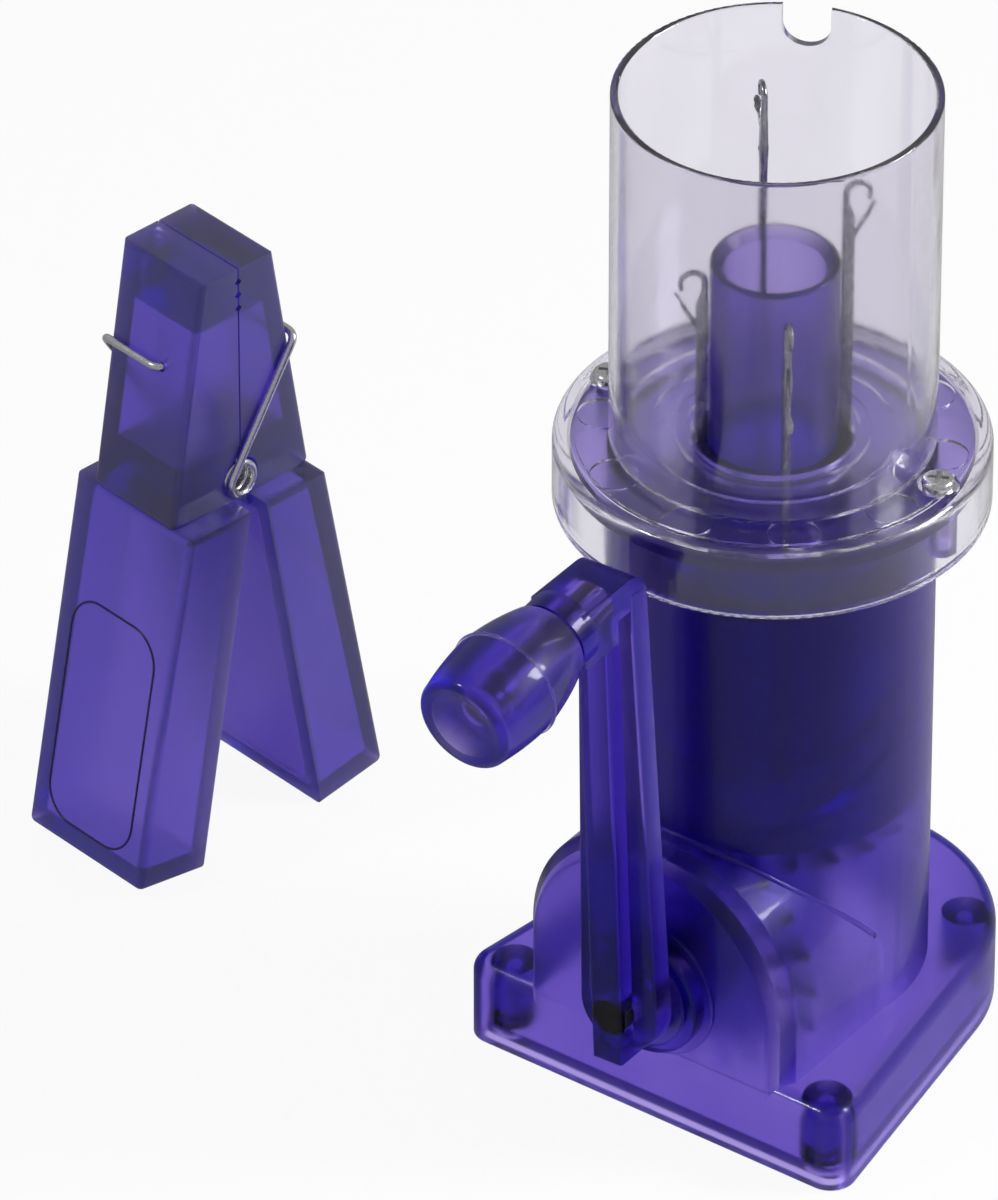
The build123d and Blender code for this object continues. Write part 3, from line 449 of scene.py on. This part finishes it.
# %% Needles
HOOK_Z = -HOOK_R - WIRE_R
BAR_POWER = 0.35
NECK_LOW, NECK_HIGH = -7.0, -3.4
BEAK_LENGTH, BEAK_BEND = 1.3, 0.16


def needle_path():
    """Middle line of the needle: up the bar, over the hook in a half circle, down to its tip.

    Heights run down from the hook's top.  The rows stand close at the slot and the neck,
    where the outline changes, and wide apart on the plain bar below.
    """
    bar_z = np.concatenate([[-NEEDLE_LENGTH, -NEEDLE_LENGTH + 0.1], np.linspace(-40, -16, 4),
                            np.linspace(-15, -8.2, 35), np.linspace(-8, HOOK_Z, 24)[:-1]])
    to_wire = (WIRE_R - STEM_WIDTH / 2) * smooth_step(bar_z, NECK_LOW, NECK_HIGH)
    bar_x = STEM_IN_R + STEM_WIDTH / 2 + to_wire
    turn = np.linspace(math.pi, 0, 26)
    hook_x = STEM_IN_R + WIRE_R + HOOK_R + HOOK_R * np.cos(turn)
    tip_z = np.linspace(HOOK_Z - 0.3, HOOK_Z - BEAK_LENGTH, 5)
    tip_x = np.full(5, hook_x[-1]) - BEAK_BEND * (HOOK_Z - tip_z) ** 2
    x = np.concatenate([bar_x, hook_x, tip_x])
    z = np.concatenate([bar_z, HOOK_Z + HOOK_R * np.sin(turn), tip_z])
    return np.stack([x, np.zeros_like(x), z], axis=-1), len(bar_z)


def needle_grid():
    """Outlines along the needle, from the flat slotted bar to the round wire and its tip."""
    path, bar = needle_path()
    z = path[:, 2]
    late = np.arange(len(z)) >= bar
    wire = np.where(late, 1.0, smooth_step(z, -6.8, -3.6))
    cheek = 0.12 * np.exp(-((z + LATCH_DROP) / 2.2) ** 2) * ~late
    taper = WIRE_R + (TIP_R - WIRE_R) * np.clip((np.arange(len(z)) - bar) / (len(z) - 1 - bar), 0, 1)
    wide = STEM_WIDTH / 2 + (taper - STEM_WIDTH / 2) * wire
    thick = STEM_THICK / 2 + cheek + (taper - STEM_THICK / 2) * wire
    thick[-1] = wide[-1] = 0.12
    square = BAR_POWER + (1 - BAR_POWER) * wire
    into_slot = smooth_step(z, SLOT_LOW, SLOT_LOW + SLOT_RAMP)
    out_of_slot = 1 - smooth_step(z, SLOT_HIGH - SLOT_RAMP, SLOT_HIGH)
    slot = SLOT_DEPTH * into_slot * out_of_slot * ~late
    return carry(slotted_outline(wide, thick, square, slot), path, (0.0, 1.0, 0.0))


BUTT_R, BUTT_HEIGHT = 15.2, 2.0


def butt_grid():
    """The butt at the needle's foot: a short bar, a little rounded off, between the cams."""
    size = np.array([1.0, 1.0, 1.0, 1.0, 0.97, 0.85])
    rows = len(size)
    reach = np.linspace(STEM_IN_R + 0.3, BUTT_R, rows)
    height = np.full(rows, -NEEDLE_LENGTH + BUTT_HEIGHT / 2)
    path = np.stack([reach, np.zeros(rows), height], axis=-1)
    outline = slotted_outline(BUTT_HEIGHT / 2 * size, STEM_THICK / 2 * size,
                              np.full(rows, BAR_POWER), np.zeros(rows))
    return carry(outline, path, (0.0, 1.0, 0.0))


for k, (angle, top) in enumerate(zip(NEEDLE_ANGLES, needle_tops), 1):
    shaft = closed_mesh(f"latch_needle_{k}", stand(needle_grid(), angle, top))
    place(shaft, needle_steel, f"needle_{k}", "needle_steel", f"needle_{k}")
    butt = closed_mesh(f"needle_butt_{k}", stand(butt_grid(), angle, top))
    place(butt, needle_steel, f"needle_{k}", "needle_steel")

# %% [markdown]
# ## Latches and rivets
# The latch is the same idea again: a thin blade on edge that turns into a spoon lying
# flat, so its width and its thickness swap places along its length.  The rivet is a
# pair of low domes on the needle's cheeks.


# %% Latches and rivets
def latch_grid(angle):
    """Outlines along the latch from its eye to the end of its spoon, leaning out by an angle.

    Half width and half depth are sums of smooth steps along s.  The eye and the spoon
    are closed by the height of a circle, sqrt(1 - u squared), and the spoon is bowed by
    a half wave.
    """
    s = np.concatenate([np.linspace(-0.5, 5.0, 14), np.linspace(5.2, LATCH_LENGTH, 22)])
    spoon = smooth_step(s, LATCH_LENGTH - 3.0, LATCH_LENGTH - 1.6)
    end = np.sqrt(np.clip(1 - ((s - LATCH_LENGTH + 1.1) / 1.13).clip(0) ** 2, 0.004, 1))
    eye = np.sqrt(np.clip(1 - (s / 0.56).clip(None, 0) ** 2, 0.05, 1))
    deep = (0.50 - 0.18 * smooth_step(s, 0, 3) - 0.14 * spoon) * eye
    wide = (0.18 + 0.40 * spoon * end) * np.where(s > 5, end ** 0.3, 1)
    bow = -0.14 * spoon * np.sin(np.clip((s - LATCH_LENGTH + 2.6) / 2.6, 0, 1) * math.pi)
    path = np.stack([bow, np.zeros_like(s), s], axis=-1)
    outline = slotted_outline(deep, wide, np.full(len(s), 0.7), np.zeros(len(s)))
    grid = carry(outline, path, (0.0, 1.0, 0.0))
    lean = math.radians(angle)
    x = grid[..., 0] * math.cos(lean) + grid[..., 2] * math.sin(lean)
    z = -grid[..., 0] * math.sin(lean) + grid[..., 2] * math.cos(lean)
    return np.stack([x + LATCH_PIVOT, grid[..., 1], z - LATCH_DROP], axis=-1)


def rivet_grid():
    """Outlines along the rivet: a pin whose ends spread into low domes on the cheeks."""
    y = np.array([-0.80, -0.78, -0.73, -0.66, -0.64, 0.64, 0.66, 0.73, 0.78, 0.80])
    radius = np.array([0.05, 0.22, 0.36, 0.42, 0.30, 0.30, 0.42, 0.36, 0.22, 0.05])
    path = np.stack([np.full(10, LATCH_PIVOT), y, np.full(10, -LATCH_DROP)], axis=-1)
    return carry(circle(1.0)[None] * radius[:, None, None], path, (0.0, 0.0, 1.0))


for k, (angle, lean, top) in enumerate(zip(NEEDLE_ANGLES, LATCH_ANGLES, needle_tops), 1):
    blade = closed_mesh(f"latch_blade_{k}", stand(latch_grid(lean), angle, top))
    place(blade, needle_steel, f"latch_{k}", "needle_steel", f"latch_{k}")
    pin = closed_mesh(f"latch_rivet_{k}", stand(rivet_grid(), angle, top))
    place(pin, needle_steel, f"needle_{k}", "needle_steel", f"rivet_{k}")

# %% [markdown]
# ## The clip's spring
# One wire: a close coil between the arms, and a leg from each end up the flank and round
# into its arm.  The coil is a helix, which is two lines of arithmetic, and each leg
# leaves it along the tangent.  The leg on the front arm, with the coil's last turn,
# belongs to that arm, because it swings with it.

# %% Spring sizes and place
CLIP_AT = (-102.0, -6.0)
CLIP_YAW = math.radians(-11.0)
CLIP_PIVOT_Z, SPRING_WIRE_R, SPRING_COIL_R = 66.0, 0.65, 2.6
SPRING_LEG_Z, SPRING_OUT, SPRING_FLANK, SPRING_TIP = 88.0, 10.8, 9.8, 2.5
COIL_PITCH = 1.36


def at_clip(points):
    """Turn and move points drawn in the clip's frame, x across it and y from arm to arm."""
    x, y, z = points[..., 0], points[..., 1], points[..., 2]
    return np.stack([x * math.cos(CLIP_YAW) - y * math.sin(CLIP_YAW) + CLIP_AT[0],
                     x * math.sin(CLIP_YAW) + y * math.cos(CLIP_YAW) + CLIP_AT[1], z], axis=-1)


def spring_path(turns):
    """Tip, across the arm, down the flank and along the tangent into a helix of some turns.

    Drawn for the back arm.  The helix angle grows evenly while x moves in by one pitch
    a turn.
    """
    out_y, out_z = SPRING_OUT, SPRING_LEG_Z - CLIP_PIVOT_Z
    touch = math.atan2(out_z, out_y) + math.acos(SPRING_COIL_R / math.hypot(out_y, out_z))
    angle = touch + np.linspace(0, 2 * math.pi * turns, int(26 * turns) + 1)
    helix = np.stack([SPRING_FLANK - COIL_PITCH * (angle - touch) / (2 * math.pi),
                      SPRING_COIL_R * np.cos(angle), CLIP_PIVOT_Z + SPRING_COIL_R * np.sin(angle)], axis=-1)
    corners = [(-SPRING_TIP, SPRING_OUT - 3.0, SPRING_LEG_Z), (-SPRING_TIP, SPRING_OUT, SPRING_LEG_Z),
               (SPRING_FLANK, SPRING_OUT, SPRING_LEG_Z), tuple(helix[0])]
    return np.vstack([rounded(corners, 1.8)[:-1], helix])


# %% [markdown]
# ## Winding the spring
# Both wires come from one path.  The front one is the same path turned half round, with
# less than one turn of coil.

# %% Spring
back_wire = carry(circle(SPRING_WIRE_R), spring_path(12.9), (1.0, 1.0, 1.0))
back_spring = closed_mesh("spring_wire", at_clip(back_wire))
place(back_spring, zinc, "clip", "zinc_steel", "clip_spring")
front_wire = carry(circle(SPRING_WIRE_R), spring_path(0.8) * (-1, -1, 1), (1.0, 1.0, 1.0))
front_spring = closed_mesh("spring_wire_front", at_clip(front_wire))
place(front_spring, zinc, "clip_front", "zinc_steel", "clip_spring_leg")

# %% [markdown]
# ## Thumb grip outlines
# The outer face of each handle has a flat panel for the thumb.  Its edge shows as one
# fine dark line with round corners, the shade along the panel's edge, which is painted
# here.  A groove cut into the arm would need a new arm, so the line is a thin bead laid
# half into the face in a dark finish that paints that shade: a rounded rectangle drawn
# on the sloping face, carried round by a small circle.

# %% Thumb grip outlines
SHOULDER_OUT, SHOULDER_Z, FOOT_OUT, HEEL_Z = 14.2, 62.5, 25.6, 2.05
GRIP_HALF, GRIP_LOW, GRIP_HIGH, GRIP_CORNER = 9.4, 6.0, 44.0, 5.5
GRIP_LINE_R = 0.2


def rounded_rectangle(half, low, high, radius, steps=12):
    """Points round a rectangle: four quarter circles, each a quarter turn after the last."""
    turn = np.linspace(0, math.pi / 2, steps)
    parts = []
    for k, (x, z) in enumerate([(half, high), (-half, high), (-half, low), (half, low)]):
        inner_x, inner_z = x - math.copysign(radius, x), z + (radius if z == low else -radius)
        angle = turn + k * math.pi / 2
        arc = [inner_x + radius * np.cos(angle), inner_z + radius * np.sin(angle)]
        parts.append(np.stack(arc, axis=-1))
    return np.vstack(parts)


def grip_line_grid():
    """The line on the front arm's outer face, which leans out evenly from shoulder to heel."""
    flat = rounded_rectangle(GRIP_HALF, GRIP_LOW, GRIP_HIGH, GRIP_CORNER)
    lean = (FOOT_OUT - SHOULDER_OUT) / (SHOULDER_Z - HEEL_Z)
    out = SHOULDER_OUT + (SHOULDER_Z - flat[:, 1]) * lean
    path = np.stack([flat[:, 0], -out, flat[:, 1]], axis=-1)
    return carry(circle(GRIP_LINE_R, 8), path, (0.0, 1.0, 0.0), loop=True)


def line_finish():
    """Deep violet satin for the fine raised lines, dark as painted shade of the panel's edge, a little
    uneven in tone.
    """
    material, tree, shader, _ = start_material("painted_shade_line")
    grain = noise(tree, 400.0, 2.0)
    tree.links.new(blend_colours(tree, grain, (0.012, 0.008, 0.07), (0.03, 0.02, 0.13)),
                   shader.inputs["Base Color"])
    shader.inputs["Roughness"].default_value = 0.3
    return material


# The bead's dark colour is painted shade: the shade along the thumb panel's edge.
painted_shade_line = line_finish()
for side, turn, body in (("front", 1, "clip_front"), ("back", -1, "clip")):
    outline = closed_mesh(f"grip_line_{side}", at_clip(grip_line_grid() * (turn, turn, 1)), loop=True)
    place(outline, painted_shade_line, body, "purple_plastic")

# %% [markdown]
# ## Where the barrel meets the column
# The mould leaves a small round in the corner between the barrel's back and the column.
# It is the line where two cylinders cross: x is the column's radius times the sine of
# an angle, and the height follows from the barrel's circle at that x.

# %% Junction bead
COLUMN_R, BARREL_R, CRANK_Z, JUNCTION_R = 24.6, 24.3, 24.8, 0.45
around = np.radians(np.linspace(-76, 76, 90))
meet_x = COLUMN_R * np.sin(around)
meet_z = CRANK_Z + np.sqrt(BARREL_R ** 2 - meet_x ** 2)
meet = np.stack([meet_x, -COLUMN_R * np.cos(around), meet_z], axis=-1)
junction = closed_mesh("junction_bead", carry(circle(JUNCTION_R, 10), meet, (0.0, 0.0, 1.0)))
place(junction, body_plastic, "root", "purple_plastic")

# %% [markdown]
# ## Ridge round the knob
# The two halves of the knob's mould met at its widest place and left a thin ridge there.
# A ring laid half into the knob follows it: its place and radius are read from the knob
# itself, as the point farthest from the axis on which the knob turns.

# %% Knob ridge
KNOB_AXIS = unit(np.array([0.004891, -0.992546, -0.121771]))
KNOB_MIDDLE = np.array([-3.01, -50.3, 99.74])
RIDGE_R = 0.3
knob = nodes["knob"]
corners = np.empty(3 * len(knob.data.vertices))
knob.data.vertices.foreach_get("co", corners)
to_world = np.array(knob.matrix_world)
corners = corners.reshape(-1, 3) @ to_world[:3, :3].T + to_world[:3, 3]
corners = corners / MM - KNOB_MIDDLE
along = corners @ KNOB_AXIS
from_axis = np.linalg.norm(corners - along[:, None] * KNOB_AXIS, axis=-1)
widest = int(np.argmax(from_axis))
first = unit(np.cross(KNOB_AXIS, (0.0, 0.0, 1.0)))
second = np.cross(KNOB_AXIS, first)
ring = circle(from_axis[widest], 96)
ridge_path = KNOB_MIDDLE + along[widest] * KNOB_AXIS + ring[:, :1] * first + ring[:, 1:] * second
print("knob widest", round(float(from_axis[widest]), 2), "mm at", round(float(along[widest]), 2), "mm")
ridge_grid = carry(circle(RIDGE_R, 10), ridge_path, tuple(KNOB_AXIS), loop=True)
ridge = closed_mesh("knob_ridge", ridge_grid, loop=True)
place(ridge, knob_plastic, "knob", "purple_plastic")

# %% [markdown]
# ## Floor and light
# The machine stands on a plain white table in a soft studio.  The table shows a clean
# white to the camera and through the plastic, and keeps a weak contact shadow.  In mirrored
# light it is darker than it would be, because its full reflection greys the violet.

# %% Floor
FLOOR_SIZE = 3.0
FLOOR_GAP = 0.0003
MIRRORED_SHARE = 0.1
WHITE_SHARE = 0.92
MIRRORED_LOSS = 0.45


def calculate(tree, operation, first, second):
    """A sum, product or larger value of two numbers, either of which may be a link."""
    node = add(tree, "ShaderNodeMath", {"operation": operation})
    for socket, value in zip(node.inputs, (first, second)):
        if isinstance(value, bpy.types.NodeSocket):
            tree.links.new(value, socket)
        else:
            socket.default_value = value
    return node.outputs[0]


def seen_directly(tree):
    """1 for a ray from the camera or through plastic, a share for a mirrored ray, 0 for light."""
    path = add(tree, "ShaderNodeLightPath")
    mirrored = calculate(tree, "MULTIPLY", path.outputs["Is Glossy Ray"], MIRRORED_SHARE)
    camera_ray, through = path.outputs["Is Camera Ray"], path.outputs["Is Transmission Ray"]
    return calculate(tree, "MAXIMUM", calculate(tree, "MAXIMUM", camera_ray, through), mirrored)


def only_mirrored(tree):
    """1 for a mirrored ray.  Rough plastic marks a ray that goes through as mirrored too, so
    those that go through are taken off."""
    path = add(tree, "ShaderNodeLightPath")
    return calculate(tree, "SUBTRACT", path.outputs["Is Glossy Ray"],
                     path.outputs["Is Transmission Ray"])


def floor_material():
    """White table: matt, with a share of even white where it is seen, dimmed where mirrored."""
    material, tree, shader, output = start_material("table_white")
    grain = noise(tree, 200.0, 3.0)
    paint = blend_colours(tree, grain, (0.90, 0.90, 0.90), (0.94, 0.94, 0.94))
    tree.links.new(paint, shader.inputs["Base Color"])
    shader.inputs["Roughness"].default_value = 0.9
    shader.inputs["Specular IOR Level"].default_value = 0.1
    glow = add(tree, "ShaderNodeEmission", Color=(1, 1, 1, 1), Strength=1.0)
    share = calculate(tree, "MULTIPLY", seen_directly(tree), WHITE_SHARE)
    mix = add(tree, "ShaderNodeMixShader", Fac=share)
    tree.links.new(shader.outputs[0], mix.inputs[1])
    tree.links.new(glow.outputs[0], mix.inputs[2])
    dark = add(tree, "ShaderNodeEmission", Color=(0, 0, 0, 1), Strength=0.0)
    loss = calculate(tree, "MULTIPLY", only_mirrored(tree), MIRRORED_LOSS)
    dim = add(tree, "ShaderNodeMixShader", Fac=loss)
    tree.links.new(mix.outputs[0], dim.inputs[1])
    tree.links.new(dark.outputs[0], dim.inputs[2])
    tree.links.new(dim.outputs[0], output.inputs["Surface"])
    return material


half = FLOOR_SIZE / 2
floor_mesh = bpy.data.meshes.new("floor")
table_corners = [(-half, -half, 0), (half, -half, 0), (half, half, 0), (-half, half, 0)]
floor_mesh.from_pydata(table_corners, [], [(0, 1, 2, 3)])
floor_mesh.materials.append(floor_material())
floor = bpy.data.objects.new("floor", floor_mesh)
floor.location.z = CAD_BOX[0][2] - FLOOR_GAP
bpy.context.scene.collection.objects.link(floor)
print("table", FLOOR_SIZE, "m wide, top at", round(floor.location.z, 5), "m")

# %% [markdown]
# ## World and lamps
# An even pale sky fills the shadows, and two small soft lamps give the plastic its
# highlights: a key straight from the right, and a fill from high on the left, a little in
# front.  The sky is white where it is seen and weaker where it only gives light, so that
# the ground stays clean without washing out the shading.

# %% World and lamps
SKY_LIGHT = 0.30
world = bpy.data.worlds.new("studio")
bpy.context.scene.world = world
world.use_nodes = True
sky = world.node_tree
sky.nodes.clear()
seen = add(sky, "ShaderNodeBackground", Color=(1, 1, 1, 1), Strength=1.0)
lit = add(sky, "ShaderNodeBackground", Color=(1, 1, 1, 1), Strength=SKY_LIGHT)
either = add(sky, "ShaderNodeMixShader", Fac=seen_directly(sky))
sky.links.new(lit.outputs[0], either.inputs[1])
sky.links.new(seen.outputs[0], either.inputs[2])
add(sky, "ShaderNodeOutputWorld", Surface=either.outputs[0])


def softbox(name, spot, size, watts):
    """A square lamp at a spot, aimed at the middle of the machine.

    Its tilt is a right angle plus the aim's own slope, and its turn the aim's heading.
    """
    data = bpy.data.lights.new(name, "AREA")
    data.size = size
    data.energy = watts
    lamp = bpy.data.objects.new(name, data)
    lamp.location = spot
    aim = np.array([0.0, 0.0, VIEW_HEIGHT]) - np.array(spot)
    flat = math.hypot(aim[0], aim[1])
    lamp.rotation_euler = (math.pi / 2 + math.atan2(aim[2], flat), 0.0, math.atan2(-aim[0], aim[1]))
    bpy.context.scene.collection.objects.link(lamp)
    print(name, "lamp", watts, "W,", size, "m wide")


softbox("key", (0.30, 0.20, 0.30), 0.14, 1.8)
softbox("fill", (-0.4, -0.5, 0.7), 0.12, 1.6)
scene = bpy.context.scene
scene.view_settings.view_transform = "Standard"
# Light crosses many walls here, and a path that is cut short leaves a black rim.
scene.cycles.max_bounces = 24
scene.cycles.transmission_bounces = 24
scene.cycles.glossy_bounces = 12
